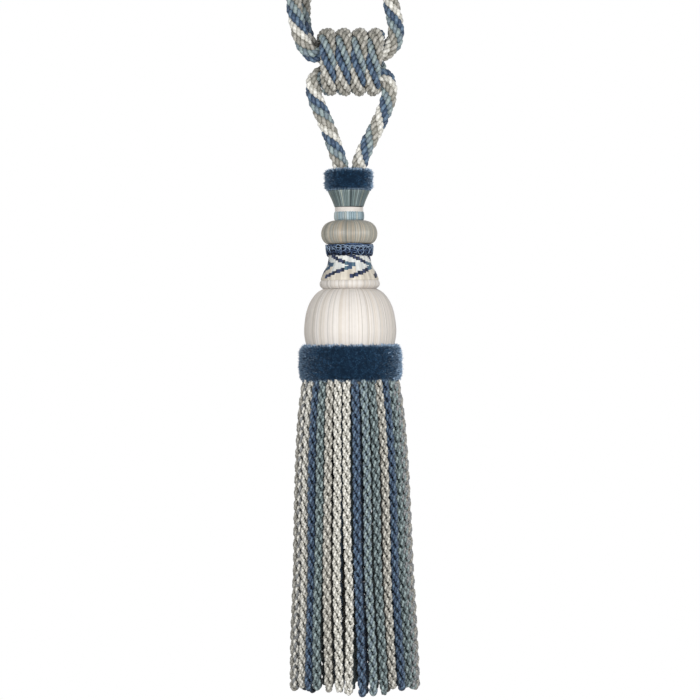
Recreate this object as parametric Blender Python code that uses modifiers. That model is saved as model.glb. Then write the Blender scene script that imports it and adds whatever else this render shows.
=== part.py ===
"""Curtain tieback tassel: two embrace ropes, a barrel knot, a bail rope and a bullion tassel.

The object hangs by its embrace. The origin is the inside of the embrace's crown, where a hook
bears. +Z is up, +X is to the right and the front faces -Y. Tables are in millimetres.
"""

import math
import random

import bmesh
import bpy
from mathutils import Vector

MM = 0.001
GAP = 0.3 * MM
MERGE = 0.00001

# Ropes
ROPE_RADIUS = 4.6 * MM
ROPE_LAY = 28.0 * MM
ROPE_LOBES = 4
ROPE_GROOVE = 0.9 * MM
ROPE_STEP = 3.4 * MM
EMBRACE_DEPTH = 4.8 * MM
ARC_POINTS = 8
SPLINE_PARTS = 16

# Barrel knot: one rope wound round three centres, those of the embrace ropes and, low down,
# a point just above the bail rope's centre, because the knot's rope is thinner there
EMBRACE_CORE_Z = -68.1 * MM
KNOT_LOW_Z = -78.4 * MM
KNOT_OFFSET = 9.5 * MM
KNOT_TURNS = 4
KNOT_PITCH = 8.97 * MM
KNOT_FIRST_X = -12.9 * MM
KNOT_START = -0.25
KNOT_SWING = 1.5
KNOT_SQUEEZE = 0.108
KNOT_RADIUS_TOP = 4.3 * MM
KNOT_RADIUS_LESS_BELOW = 0.47 * MM
KNOT_RADIUS_LESS_BEHIND = 0.1 * MM
KNOT_STEPS_A_TURN = 28
KNOT_TAIL = (0.6, 0.9)

# Tassel's head: an axis that leans a little to the right as it goes down
HEAD_TOP = Vector((-0.75, 0.0, -131.0)) * MM
HEAD_LEAN = math.radians(0.55)
POCKET_DEPTH = 4.3 * MM
BAIL_END_Z = -135.0 * MM
BAIL_END_X = 4.9 * MM

# Bullion skirt
SKIRT_ROOT_DEPTH = 118.8 * MM
SKIRT_BOTTOM_Z = -419.2 * MM
SKIRT_LEAN = 0.7 * MM
SKIRT_CORD_TOP = 3.8 * MM
SKIRT_CORD_BOTTOM = 4.7 * MM
SKIRT_SEGMENTS = 7
SKIRT_UNEVEN = 3.6 * MM
SKIRT_SWAY = 0.4 * MM
SKIRT_WAVES = (0.8, 1.7)
SKIRT_TIP = 0.8
SEED = 7

# Routes: x and z of a rope's centreline, in millimetres, from the knot's middle over the crown
EMBRACE_FRONT_ROUTE = [
    # x, z
    (0.0, -68.1), (-6.0, -68.1), (-11.5, -68.2), (-16.2, -69.2), (-20.0, -69.2),
    (-23.1, -66.8), (-25.5, -63.2), (-27.6, -57.6), (-29.2, -50.7), (-30.4, -44.1),
    (-30.8, -37.0), (-30.0, -27.0), (-27.6, -17.5), (-23.4, -8.9), (-17.0, -1.4),
    (-9.0, 3.1), (0.0, 4.6), (7.0, 3.3), (13.0, -0.6), (17.3, -6.8), (19.6, -14.5),
    (20.6, -24.0), (21.2, -32.0), (22.0, -38.6), (23.4, -45.2), (24.6, -50.7),
    (25.3, -56.0), (24.9, -60.6), (23.3, -64.2), (20.8, -66.9), (17.2, -68.6),
    (12.5, -68.6), (7.0, -68.2), (0.0, -68.1),
]
EMBRACE_BACK_ROUTE = [
    # x, z
    (0.0, -68.1), (-6.0, -68.1), (-11.5, -68.1), (-15.6, -67.6), (-19.3, -65.7),
    (-22.4, -62.0), (-24.6, -56.7), (-25.8, -50.7), (-26.1, -44.5), (-25.7, -37.0),
    (-25.2, -27.0), (-23.7, -17.0), (-20.4, -8.0), (-15.0, -1.0), (-8.0, 3.3),
    (0.0, 4.6), (7.0, 3.3), (13.2, -0.7), (17.7, -7.0), (20.3, -15.0), (21.5, -24.0),
    (22.0, -32.0), (22.6, -38.6), (23.8, -45.2), (25.0, -50.7), (25.4, -55.6),
    (24.2, -60.4), (21.5, -64.2), (17.8, -67.0), (12.8, -68.1), (7.0, -68.1),
    (0.0, -68.1),
]
BAIL_ROUTE = [
    # x, z
    (-4.9, -135.0), (-5.0, -131.0), (-5.7, -127.5), (-6.9, -123.8), (-8.2, -120.0),
    (-9.7, -115.6), (-11.3, -111.2), (-13.1, -106.8), (-15.0, -102.4), (-16.9, -98.0),
    (-18.8, -93.3), (-20.0, -88.4), (-19.9, -84.4), (-18.7, -81.3), (-16.2, -79.5),
    (-12.0, -79.0), (-5.0, -79.0), (5.0, -79.0), (12.5, -79.0), (17.0, -79.5),
    (19.9, -81.5), (21.3, -84.8), (21.6, -88.8), (21.0, -93.4), (19.4, -98.0),
    (17.6, -102.4), (15.5, -106.8), (13.3, -111.2), (11.0, -115.6), (8.7, -120.0),
    (6.9, -124.0), (5.6, -127.7), (5.0, -131.0), (4.9, -135.0),
]

# Turned pieces: depth below the head's top and radius, in millimetres, down the outer side
TOP_RUFF_PROFILE = [
    # depth, radius
    (0.5, 0.0), (0.2, 9.0), (0.3, 11.2), (0.9, 12.6), (2.2, 13.3), (6.0, 13.5),
    (10.5, 13.4), (12.2, 12.8), (12.9, 11.4), (12.7, 0.0),
]
NECK_PROFILE = [
    # depth, radius
    (13.2, 0.0), (13.2, 11.2), (15.2, 10.4), (17.6, 9.3), (20.0, 8.3), (21.0, 7.9),
    (21.0, 6.6), (24.2, 6.6), (24.2, 7.8), (25.0, 8.0), (28.7, 8.0), (28.7, 0.0),
]
BINDING_PROFILE = [
    # depth, radius
    (21.3, 6.9), (21.3, 7.6), (22.6, 7.8), (23.9, 7.6), (23.9, 6.9),
]
BUN_PROFILE = [
    # depth, radius
    (29.0, 0.0), (29.0, 8.3), (29.5, 10.6), (30.5, 12.7), (32.2, 14.3), (34.5, 15.2),
    (36.6, 15.4), (38.8, 14.9), (40.6, 13.8), (41.7, 12.6), (41.7, 0.0),
]
CONE_PROFILE = [
    # depth, radius
    (42.0, 0.0), (42.0, 9.9), (48.7, 9.9), (48.7, 11.3), (51.0, 11.6), (53.0, 12.3),
    (55.2, 13.3), (57.6, 14.5), (60.0, 15.6), (61.6, 16.1), (61.6, 0.0),
]
RIM_PROFILE = [
    # depth, radius
    (61.9, 0.0), (61.9, 15.7), (62.7, 16.3), (63.9, 16.5), (65.1, 16.1), (66.2, 15.0),
    (66.2, 0.0),
]
BALL_PROFILE = [
    # depth, radius
    (66.5, 0.0), (66.5, 14.9), (68.2, 17.9), (70.4, 20.0), (73.2, 21.9), (76.8, 23.5),
    (81.0, 24.5), (86.0, 25.2), (90.5, 25.4), (94.5, 24.9), (97.4, 24.2), (99.3, 23.4),
    (99.3, 0.0),
]
LOWER_RUFF_PROFILE = [
    # depth, radius
    (97.1, 25.0), (97.2, 26.6), (98.4, 27.6), (101.0, 28.2), (107.0, 28.4),
    (113.5, 28.3), (116.6, 27.9), (117.7, 26.8), (117.7, 24.2), (98.6, 24.2),
]
HEADING_PROFILE = [
    # depth, radius
    (99.6, 0.0), (99.6, 23.9), (118.0, 23.9), (118.0, 27.2), (120.0, 27.2), (120.0, 0.0),
]
GIMP_PROFILE = [
    # depth, radius
    (42.1, 10.2), (42.1, 12.4), (43.6, 12.9), (45.2, 12.3), (46.8, 12.2), (48.0, 11.6),
    (48.4, 10.9), (48.4, 10.2),
]
TURNED_PIECES = [
    # node, profile, steps round, material slot
    ("neck", NECK_PROFILE, 24, "neck_thread"),
    ("neck_binding", BINDING_PROFILE, 24, "cream_thread"),
    ("bun", BUN_PROFILE, 28, "bun_thread"),
    ("chevron_cone", CONE_PROFILE, 28, "chevron_braid"),
    ("rim_bead", RIM_PROFILE, 28, "cream_thread"),
    ("ball", BALL_PROFILE, 32, "cream_thread"),
    ("lower_ruff", LOWER_RUFF_PROFILE, 32, "velvet"),
]
TOP_RUFF_STEPS = 28
HEADING_STEPS = 32

# Gimp: loops in two staggered rows, raised outside one radius and parted at one depth
GIMP_INSIDE = 10.8 * MM
GIMP_MIDDLE = 45.2 * MM
GIMP_LOOPS = 24
GIMP_BUMP = 0.4 * MM

# Skirt's outline: share of its length and radius to the cords' outer side, in millimetres
SKIRT_OUTLINE = [
    # share, radius
    (0.0, 27.2), (0.05, 28.6), (0.12, 30.0), (0.25, 31.4), (0.40, 32.4), (0.60, 33.4),
    (0.80, 35.2), (1.0, 36.2),
]
SKIRT_ROWS = [
    # cords, how far inside the outline at the top and at the bottom (mm), turn in degrees
    (34, 2.3, 2.5, 0.0),
    (26, 7.7, 8.6, 4.0),
]

COLOURS = {
    # slot: red, green, blue, roughness
    "rope": (0.34, 0.40, 0.43, 0.75),
    "velvet": (0.018, 0.055, 0.115, 0.95),
    "neck_thread": (0.28, 0.31, 0.29, 0.5),
    "cream_thread": (0.76, 0.71, 0.62, 0.45),
    "bun_thread": (0.40, 0.38, 0.32, 0.45),
    "navy_gimp": (0.03, 0.05, 0.12, 0.8),
    "chevron_braid": (0.55, 0.56, 0.55, 0.75),
    "bullion": (0.36, 0.41, 0.42, 0.75),
}


def start_empty():
    for item in list(bpy.data.objects):
        bpy.data.objects.remove(item, do_unlink=True)


def new_collection(name):
    group = bpy.data.collections.new(name)
    bpy.context.scene.collection.children.link(group)
    return group


def material(slot):
    found = bpy.data.materials.get(slot)
    if found:
        return found
    red, green, blue, roughness = COLOURS[slot]
    made = bpy.data.materials.new(slot)
    made.use_nodes = True
    shader = made.node_tree.nodes["Principled BSDF"]
    shader.inputs["Base Color"].default_value = (red, green, blue, 1.0)
    shader.inputs["Roughness"].default_value = roughness
    shader.inputs["Metallic"].default_value = 0.0
    return made


def add_mesh(name, mesh, slot, group):
    item = bpy.data.objects.new(name, mesh)
    group.objects.link(item)
    mesh.materials.clear()
    mesh.materials.append(material(slot))
    return item


def hide_guide(item):
    item.hide_render = True
    item.display_type = "WIRE"


def spline_through(points, step):
    """Points a step apart on a Catmull-Rom curve through the given points."""
    ends = [points[0] * 2 - points[1], *points, points[-1] * 2 - points[-2]]
    fine = []
    for before, start, stop, after in zip(ends, ends[1:], ends[2:], ends[3:]):
        for part in range(SPLINE_PARTS):
            t = part / SPLINE_PARTS
            fine.append(
                0.5
                * (
                    2 * start
                    + (stop - before) * t
                    + (2 * before - 5 * start + 4 * stop - after) * t * t
                    + (3 * start - 3 * stop + after - before) * t ** 3
                )
            )
    fine.append(points[-1].copy())
    return even_points(fine, step)


def even_points(line, step):
    """The same line with its points the same distance apart, about one step."""
    lengths = [0.0]
    for start, stop in zip(line, line[1:]):
        lengths.append(lengths[-1] + (stop - start).length)
    count = max(2, round(lengths[-1] / step))
    evened = []
    place = 0
    for index in range(count + 1):
        wanted = lengths[-1] * index / count
        while place < len(line) - 2 and lengths[place + 1] < wanted:
            place += 1
        run = lengths[place + 1] - lengths[place]
        evened.append(line[place].lerp(line[place + 1], (wanted - lengths[place]) / run))
    return evened


def line_length(line):
    return sum((stop - start).length for start, stop in zip(line, line[1:]))


def rope_section(guides):
    """The lobed outline of a laid rope, as a closed curve for use as a bevel."""
    data = bpy.data.curves.new("rope_section", "CURVE")
    data.dimensions = "2D"
    data.fill_mode = "NONE"
    spline = data.splines.new("POLY")
    corners = ROPE_LOBES * 2
    spline.points.add(corners - 1)
    for index, point in enumerate(spline.points):
        angle = 2 * math.pi * index / corners
        reach = ROPE_RADIUS - (ROPE_GROOVE if index % 2 else 0.0)
        point.co = (reach * math.cos(angle), reach * math.sin(angle), 0.0, 1.0)
    spline.use_cyclic_u = True
    item = bpy.data.objects.new("rope_section", data)
    guides.objects.link(item)
    hide_guide(item)
    return item


def laid_rope(name, line, section, group, thickness=None):
    """A rope along a line of points, its lobes turned by the rope's lay."""
    data = bpy.data.curves.new(name, "CURVE")
    data.dimensions = "3D"
    data.twist_mode = "MINIMUM"
    data.bevel_mode = "OBJECT"
    data.bevel_object = section
    data.use_fill_caps = True
    spline = data.splines.new("POLY")
    spline.points.add(len(line) - 1)
    run = 0.0
    for index, point in enumerate(spline.points):
        if index:
            run += (line[index] - line[index - 1]).length
        point.co = (*line[index], 1.0)
        point.tilt = -2 * math.pi * run / ROPE_LAY
        point.radius = thickness[index] if thickness else 1.0
    curve = bpy.data.objects.new(name + "_line", data)
    group.objects.link(curve)
    return curve_to_mesh(name, curve, "rope", group)


def curve_to_mesh(name, curve, slot, group):
    bpy.context.view_layer.update()
    evaluated = curve.evaluated_get(bpy.context.evaluated_depsgraph_get())
    mesh = bpy.data.meshes.new_from_object(evaluated)
    mesh.name = name
    form = bmesh.new()
    form.from_mesh(mesh)
    bmesh.ops.remove_doubles(form, verts=form.verts, dist=MERGE)
    bmesh.ops.recalc_face_normals(form, faces=form.faces)
    form.to_mesh(mesh)
    form.free()
    made = add_mesh(name, mesh, slot, group)
    made.matrix_world = curve.matrix_world
    bpy.data.objects.remove(curve, do_unlink=True)
    return made


def embrace_rope(name, route, depth, section, group):
    points = [Vector((x * MM, depth, z * MM)) for x, z in route]
    points[0].x -= GAP / 2
    points[-1].x += GAP / 2
    return laid_rope(name, spline_through(points, ROPE_STEP), section, group)


def bail_rope(section, group):
    points = [Vector((x * MM, 0.0, z * MM)) for x, z in BAIL_ROUTE]
    return laid_rope("bail_rope", spline_through(points, ROPE_STEP), section, group)


def knot_outline():
    """One turn round the three ropes from its top to its front, as points of y and z."""
    centres = [
        Vector((-EMBRACE_DEPTH, EMBRACE_CORE_Z)),
        Vector((0.0, KNOT_LOW_Z)),
        Vector((EMBRACE_DEPTH, EMBRACE_CORE_Z)),
    ]
    top = Vector((0.0, EMBRACE_CORE_Z + KNOT_OFFSET))
    outline = [top]
    for index, centre in enumerate(centres):
        before = centre - centres[index - 1]
        after = centres[(index + 1) % len(centres)] - centre
        first = math.atan2(before.y, before.x) - math.pi / 2
        last = math.atan2(after.y, after.x) - math.pi / 2
        if last < first:
            last += 2 * math.pi
        for part in range(ARC_POINTS + 1):
            angle = first + (last - first) * part / ARC_POINTS
            outline.append(centre + KNOT_OFFSET * Vector((math.cos(angle), math.sin(angle))))
    outline.append(top)
    return outline


def knot_wrap(section, group):
    """Four turns whose fronts stand upright, so that the rope moves along behind."""
    outline = knot_outline()
    turn = even_points(outline, line_length(outline) / KNOT_STEPS_A_TURN)
    middle = KNOT_FIRST_X + KNOT_PITCH * (KNOT_TURNS - 1) / 2
    first = round(KNOT_START * KNOT_STEPS_A_TURN)
    line = []
    thickness = []
    for index in range(first, first + KNOT_TURNS * KNOT_STEPS_A_TURN + 1):
        share = index / KNOT_STEPS_A_TURN
        angle = 2 * math.pi * share
        below = (1 - math.cos(angle)) / 2
        behind = max(0.0, -math.sin(angle))
        swing = KNOT_SWING * (math.cos(angle) - 1) / (2 * math.pi)
        x = KNOT_FIRST_X + KNOT_PITCH * (share + swing)
        x = middle + (x - middle) * (1 - KNOT_SQUEEZE * below)
        around = turn[index % KNOT_STEPS_A_TURN]
        line.append(Vector((x, around.x, around.y)))
        radius = KNOT_RADIUS_TOP - KNOT_RADIUS_LESS_BELOW * below
        thickness.append((radius - KNOT_RADIUS_LESS_BEHIND * behind) / ROPE_RADIUS)
    for index, share in enumerate(KNOT_TAIL):
        thickness[index] *= share
        thickness[-1 - index] *= share
    return laid_rope("knot_wrap", line, section, group, thickness)


def profile_mesh(name, profile):
    """A profile's line, closed into a ring where it stays off the axis."""
    mesh = bpy.data.meshes.new(name)
    verts = [(radius * MM, 0.0, -depth * MM) for depth, radius in profile]
    edges = [(index, index + 1) for index in range(len(verts) - 1)]
    if profile[0][1] > 0:
        edges.append((len(verts) - 1, 0))
    mesh.from_pydata(verts, edges, [])
    return mesh


def turned(name, profile, steps, slot, group, head):
    """A profile turned round the head's axis, from its top down its outer side."""
    item = add_mesh(name, profile_mesh(name, profile), slot, group)
    screw = item.modifiers.new("Screw", "SCREW")
    screw.steps = steps
    screw.render_steps = steps
    screw.use_merge_vertices = True
    screw.merge_threshold = MERGE
    screw.use_smooth_shade = True
    item.parent = head
    return item


def boolean(item, other, operation):
    cut = item.modifiers.new("Boolean", "BOOLEAN")
    cut.operation = operation
    cut.solver = "EXACT"
    cut.object = other
    hide_guide(other)


def top_ruff(group, cutters, head):
    """The upper cut-pile ruff, with the pocket that takes the bail rope's two ends."""
    ruff = turned("top_ruff", TOP_RUFF_PROFILE, TOP_RUFF_STEPS, "velvet", group, head)
    data = bpy.data.curves.new("pocket", "CURVE")
    data.dimensions = "2D"
    data.fill_mode = "BOTH"
    data.extrude = POCKET_DEPTH
    spline = data.splines.new("POLY")
    spline.points.add(2 * ARC_POINTS + 1)
    for index, point in enumerate(spline.points):
        side = 1 if index <= ARC_POINTS else -1
        angle = math.pi * (index % (ARC_POINTS + 1)) / ARC_POINTS - side * math.pi / 2
        reach = ROPE_RADIUS + GAP
        x = side * BAIL_END_X + reach * math.cos(angle)
        point.co = (x, reach * math.sin(angle), 0.0, 1.0)
    spline.use_cyclic_u = True
    curve = bpy.data.objects.new("pocket_line", data)
    curve.location.z = BAIL_END_Z - GAP + POCKET_DEPTH
    cutters.objects.link(curve)
    pocket = curve_to_mesh("pocket", curve, "velvet", cutters)
    boolean(ruff, pocket, "DIFFERENCE")


def gimp(group, head):
    """A turned ring whose outer points are raised in two staggered rows of loops."""
    ring = turned("gimp_ring", GIMP_PROFILE, GIMP_LOOPS * 2, "navy_gimp", group, head)
    bpy.context.view_layer.update()
    evaluated = ring.evaluated_get(bpy.context.evaluated_depsgraph_get())
    mesh = bpy.data.meshes.new_from_object(evaluated)
    mesh.name = "gimp"
    bpy.data.objects.remove(ring, do_unlink=True)
    for vertex in mesh.vertices:
        across = Vector((vertex.co.x, vertex.co.y))
        if across.length < GIMP_INSIDE:
            continue
        angle = math.atan2(across.y, across.x)
        row = math.pi if -vertex.co.z > GIMP_MIDDLE else 0.0
        across.length += GIMP_BUMP * math.cos(GIMP_LOOPS * angle + row)
        vertex.co.x, vertex.co.y = across
    add_mesh("gimp", mesh, "navy_gimp", group).parent = head


def table_value(table, share):
    """The second column of a table at a share, in a straight line between its rows."""
    for (start, low), (stop, high) in zip(table, table[1:]):
        if share <= stop:
            return low + (high - low) * (share - start) / (stop - start)
    return table[-1][1]


def skirt_cords(cutters):
    """The bullion cords' four-sided strands as closed tubes, apart from one another."""
    chance = random.Random(SEED)
    data = bpy.data.curves.new("cords", "CURVE")
    data.dimensions = "3D"
    data.bevel_depth = math.sqrt(0.5) * SKIRT_CORD_TOP
    data.bevel_resolution = 0
    data.use_fill_caps = True
    full = HEAD_TOP.z - SKIRT_BOTTOM_Z - SKIRT_ROOT_DEPTH
    for count, inset_top, inset_bottom, turn in SKIRT_ROWS:
        for cord in range(count):
            length = full - SKIRT_UNEVEN * chance.random()
            phase = 2 * math.pi * chance.random()
            waves = chance.uniform(*SKIRT_WAVES)
            spline = data.splines.new("POLY")
            spline.points.add(SKIRT_SEGMENTS)
            for index, point in enumerate(spline.points):
                share = index / SKIRT_SEGMENTS
                inset = inset_top + (inset_bottom - inset_top) * share
                radius = (table_value(SKIRT_OUTLINE, share) - inset) * MM
                sway = SKIRT_SWAY * share * math.sin(2 * math.pi * waves * share + phase)
                angle = math.radians(turn) + 2 * math.pi * cord / count + sway / radius
                x = radius * math.cos(angle) + SKIRT_LEAN * share
                z = -SKIRT_ROOT_DEPTH - length * share
                point.co = (x, radius * math.sin(angle), z, 1.0)
                point.tilt = math.pi / 4
                point.radius = 1 + (SKIRT_CORD_BOTTOM / SKIRT_CORD_TOP - 1) * share
            spline.points[-1].radius *= SKIRT_TIP
    curve = bpy.data.objects.new("cords_line", data)
    cutters.objects.link(curve)
    return curve_to_mesh("cords", curve, "bullion", cutters)


def skirt(group, cutters, head):
    """The bullion cords, fused at their roots to the heading that the lower ruff covers."""
    made = turned("skirt", HEADING_PROFILE, HEADING_STEPS, "bullion", group, head)
    cords = skirt_cords(cutters)
    cords.parent = head
    boolean(made, cords, "UNION")


def build():
    start_empty()
    parts = new_collection("curtain_tieback_tassel")
    cutters = new_collection("cutters")
    head = bpy.data.objects.new("head_axis", None)
    head.location = HEAD_TOP
    head.rotation_euler.y = -HEAD_LEAN
    parts.objects.link(head)
    section = rope_section(cutters)
    embrace_rope("embrace_front", EMBRACE_FRONT_ROUTE, -EMBRACE_DEPTH, section, parts)
    embrace_rope("embrace_back", EMBRACE_BACK_ROUTE, EMBRACE_DEPTH, section, parts)
    bail_rope(section, parts)
    knot_wrap(section, parts)
    top_ruff(parts, cutters, head)
    for name, profile, steps, slot in TURNED_PIECES:
        turned(name, profile, steps, slot, parts, head)
    gimp(parts, head)
    skirt(parts, cutters, head)


build()
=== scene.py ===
"""Curtain tieback tassel: the looks of its ropes, pile, thread covers and bullion cords.

Sizes are metres unless a table says millimetres. The front faces -Y and +Z is up.
"""

import math
import random

import bpy
import numpy as np
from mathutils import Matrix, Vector


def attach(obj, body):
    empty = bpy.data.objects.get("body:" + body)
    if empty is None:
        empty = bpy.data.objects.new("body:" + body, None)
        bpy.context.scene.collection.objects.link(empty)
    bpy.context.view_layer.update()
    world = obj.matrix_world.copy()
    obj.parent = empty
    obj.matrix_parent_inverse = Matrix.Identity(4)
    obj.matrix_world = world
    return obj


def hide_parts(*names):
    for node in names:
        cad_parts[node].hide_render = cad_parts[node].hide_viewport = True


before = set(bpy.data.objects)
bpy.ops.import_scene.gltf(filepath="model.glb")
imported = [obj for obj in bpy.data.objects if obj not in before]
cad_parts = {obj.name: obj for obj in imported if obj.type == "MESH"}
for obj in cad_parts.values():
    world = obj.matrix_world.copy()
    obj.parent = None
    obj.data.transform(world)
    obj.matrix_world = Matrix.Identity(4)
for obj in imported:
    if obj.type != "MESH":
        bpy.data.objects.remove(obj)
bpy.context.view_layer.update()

MM = 0.001
TURN = 2 * math.pi
FRONT = np.array((0.0, -1.0, 0.0))
SIDEWAYS = np.array((1.0, 0.0, 0.0))
NEARLY_FRONT = 0.9
SEED = 7

# Fineness of curves, plain turned bodies and ribs
CURVE_PARTS = 16
OUTLINE_STEP = 0.1 * MM
BODY_ROWS = 40
BODY_AROUND = 96
RIB_POINTS = 4

# View: the photograph's width at the tassel, its middle, and the lens in millimetres
PHOTO_WIDTH = 0.385
PHOTO_MIDDLE = (0.0, 0.0, -0.2311)
SENSOR = 36.0
LENS = 150.0

# Stage: the world is grey in front and turns to white towards +Y
FLOOR_Z = -2.5
FLOOR_SIZE = 20.0
WHITE_BEHIND = 1.0
GREY_IN_FRONT = 0.36
WHITE_FROM, WHITE_AT = 0.0, 0.85
SOFTBOXES = [
    # name, place, size, watts
    ("key", (0.14, -0.60, -0.16), 0.35, 3.4),
    ("fill", (-0.55, -0.75, -0.10), 0.60, 2.0),
]

# Ropes: four strands of two plies
ROPE_DIAMETER = 9.2 * MM
ROPE_LAY = 28.0 * MM
BAIL_LAY = 26.0 * MM
ROPE_STEP = 0.6 * MM
STRANDS = 4
STRAND_CENTRE = 2.5 * MM
PLIES = 2
PLY_CENTRE = 1.0 * MM
PLY_RADIUS = 1.17 * MM
PLY_LAY = 6.0 * MM
PLY_SIDES = 9
# The embrace's back rope is darkened with painted shade, as if behind the front rope
BACK_ROPE_PAINTED_SHADE = 0.6

# Creases, with painted shade: how dark it is, and how far from its core a yarn is in one or fully
# open
ROPE_CREASE = (0.0, 2.6 * MM, 4.1 * MM)
STRAND_CREASE = (0.35, 1.15 * MM, 1.9 * MM)
CORD_CREASE = (0.0, 1.0 * MM, 2.4 * MM)
CORD_STRAND_CREASE = (0.2, 0.75 * MM, 1.4 * MM)
# Light left in a crease's painted shade, for any yarn and more for a pale one
CREASE_LEFT = 0.22
CREASE_BOUNCE = 0.75

# Embrace and knot, as in the solids
GAP = 0.3 * MM
EMBRACE_DEPTH = 4.8 * MM
EMBRACE_CORE_Z = -68.1 * MM
KNOT_LOW_Z = -78.4 * MM
KNOT_OFFSET = 9.5 * MM
KNOT_TURNS = 4
KNOT_PITCH = 8.97 * MM
KNOT_FIRST_X = -12.9 * MM
KNOT_START = -0.25
KNOT_SWING = 1.5
KNOT_SQUEEZE = 0.108
KNOT_RADIUS_TOP = 4.3 * MM
KNOT_RADIUS_LESS_BELOW = 0.47 * MM
KNOT_RADIUS_LESS_BEHIND = 0.1 * MM
ARC_POINTS = 8

# Knot's yarn: a little fuller and flatter than the solid, with tapering tails
KNOT_LAY = 31.0 * MM
KNOT_FULLNESS = 1.03
KNOT_WIDE = 1.22
KNOT_STEPS_A_TURN = 168
KNOT_TAIL_STEPS = 9
KNOT_TAIL_END = 0.15

# Places where the blue strand crosses a rope's front: x and z in millimetres
EMBRACE_BLUE = [(-28.6, -50.7), (24.2, -49.3)]
BAIL_BLUE = [(-9.9, -117.8), (18.7, -99.6)]
KNOT_BLUE = [(-12.9, -75.3), (13.6, -79.8)]

# Tassel's head: its axis leans a little to the right as it goes down
HEAD_TOP = np.array((-0.75, 0.0, -131.0)) * MM
HEAD_LEAN = math.radians(0.55)

# Bullion skirt: cords of two strands, each of two plies, looped at their ends. They are about as
# long as the solids' cords, but sway more.
SKIRT_ROOT_DEPTH = 118.8 * MM
SKIRT_HIDDEN = 2.5 * MM
SKIRT_BOTTOM_Z = -419.2 * MM
SKIRT_LEAN = 0.7 * MM
SKIRT_UNEVEN = 3.6 * MM
SKIRT_SWAY = 0.9 * MM
SKIRT_WAVES = (0.6, 1.5)
SKIRT_THICKNESS = (0.91, 0.96)
SKIRT_SHADES = (0.9, 1.05)
CORD_STEP = 0.64 * MM
CORD_STRAND_CENTRE = 1.35 * MM
CORD_LAY = 14.3 * MM
CORD_PLY_CENTRE = (0.45 * MM, 0.9 * MM)
CORD_PLY_RADIUS = 0.86 * MM
CORD_PLY_LAY = 4.5 * MM
CORD_PLY_SIDES = 5
INNER_STEP = 1.5 * MM
INNER_STRAND_RADIUS = 1.25 * MM
INNER_SIDES = 6
# Inner cords and the heading are darkened with painted shade, as if inside the skirt
INNER_PAINTED_SHADE = 0.3
CORD_END = 3.4 * MM
LOOP_POINTS = 7
SKIRT_PIECES = 3

# Pile: how far tufts stray, lean and shine unevenly, and how long and lumpy the pile is. The top
# ruff's upper side is bare where the bail enters it.
PILE_FEWEST = 6
PILE_STRAY = 0.9
PILE_LEAN = 0.22
PILE_NAP = 0.5
PILE_NAP_UNEVEN = 0.5
PILE_LENGTHS = (0.75, 1.25)
PILE_LUMPS = 0.2
PILE_LUMP_WAVES = np.array(
    [(1300.0, 500.0, -600.0), (-500.0, 1100.0, 1300.0), (700.0, -900.0, 1500.0)]
)
BARE_UNDER_BAIL = (9.8 * MM, 4.9 * MM)
FACING_UP = 0.7

# Neck's binding
BINDING_TURNS = 4
BINDING_STEPS_A_TURN = 72
BINDING_SIDES = 8
BINDING_TOP = 21.5 * MM
BINDING_PITCH = 0.66 * MM
BINDING_RADIUS = 7.45 * MM
BINDING_THICK = 0.40 * MM

# Gimp: painted shade darkens it towards the head's axis, from which its crease is measured. Stray,
# swing and lateness are in radians, bulge and lumps in millimetres, and heights are shares of a
# row's half height.
# The gimp's body is dark, and near black with painted shade in the gaps between its loops
GIMP_BODY_TONE = 0.6
GIMP_SIDES = 5
GIMP_LOOP_POINTS = 16
GIMP_CREASE = (0.0, 12.3 * MM, 13.2 * MM)
GIMP_STRAY = 2.0
GIMP_SWING = 0.19
GIMP_BULGE = 0.5
GIMP_BULGE_LATE = 0.8
GIMP_LUMPS = 0.7
GIMP_HEIGHTS = (0.4, 1.3)
GIMP_ROWS = [
    # loops, middle depth, radius, half height, thickness (mm), tone, phase, direction round
    (29, 43.4, 12.1, 1.3, 0.26, 0.35, 0.0, 1),
    (23, 45.3, 12.1, 1.6, 0.22, 0.1, 1.6, -1),
    (27, 47.0, 11.8, 1.3, 0.26, 0.35, 0.8, 1),
    (31, 44.3, 12.3, 1.5, 0.16, 0.9, 3.9, -1),
    (25, 46.3, 12.0, 1.6, 0.20, 0.1, 5.2, -1),
    (19, 45.4, 12.4, 2.2, 0.15, 0.9, 2.6, 1),
]

# Cone, and the chart of its chevrons
CONE_THREADS = 120
CONE_ROWS = 56
CONE_RIB = 0.12 * MM
# Light left in the painted shade of the cone's grooves
CONE_GROOVE_LIGHT = 0.8
CONE_DARK = (0.84, 5)
CHEVRON_REPEATS = 6
CHEVRON_COLUMN = math.radians(9.5)
CHEVRON_CORNER = math.radians(286.0)
CHEVRON_CORNER_DEPTH = 53.4 * MM
CHEVRON_SPLIT = 1.3 * MM
CHEVRON_FALLS = np.array((0.0, 0.2, 0.7, 1.5, 2.4, 3.3, 4.2, 5.0)) * MM
CHEVRON_FLOAT = 2.2 * MM
CHEVRON_RELIEF = 0.2 * MM
CHEVRON_NEAR_COLUMNS = 3
CHEVRON_KINDS = 2
WHITE, CREAM, NEAR_BLUE, FAR_BLUE = range(4)

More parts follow.
